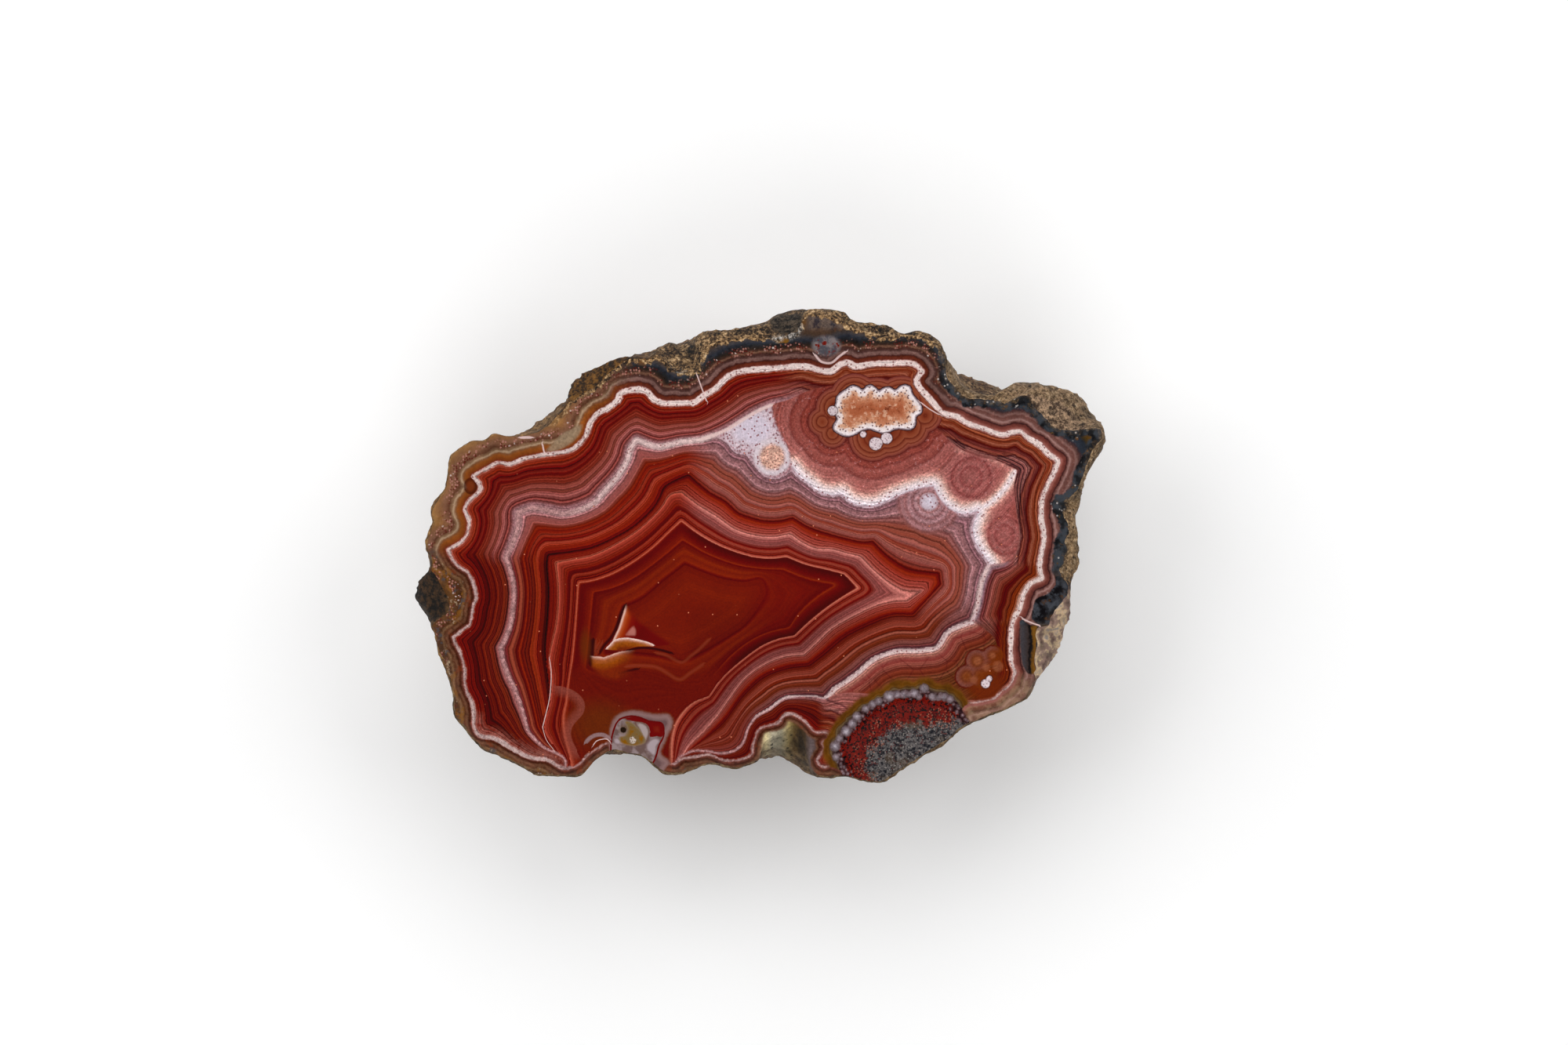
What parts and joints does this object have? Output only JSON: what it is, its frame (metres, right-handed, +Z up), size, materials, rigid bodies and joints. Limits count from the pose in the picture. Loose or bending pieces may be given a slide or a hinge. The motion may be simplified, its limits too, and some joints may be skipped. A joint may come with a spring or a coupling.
{
  "type": "banded agate half nodule",
  "caption": "Half of a banded agate nodule, cut flat and polished on top, with a rough round back that it lies on.",
  "frame": {"origin": "under the middle of the stone, at the level of the flat spot it rests on", "axes": "+X along the length of the polished face, +Y across it, +Z up out of the polished face"},
  "size_m": [0.088, 0.0603, 0.029],
  "materials": {
    "agate": "polished"
  },
  "bodies": {
    "root": {"agate_half": "agate"}
  },
  "joints": []
}
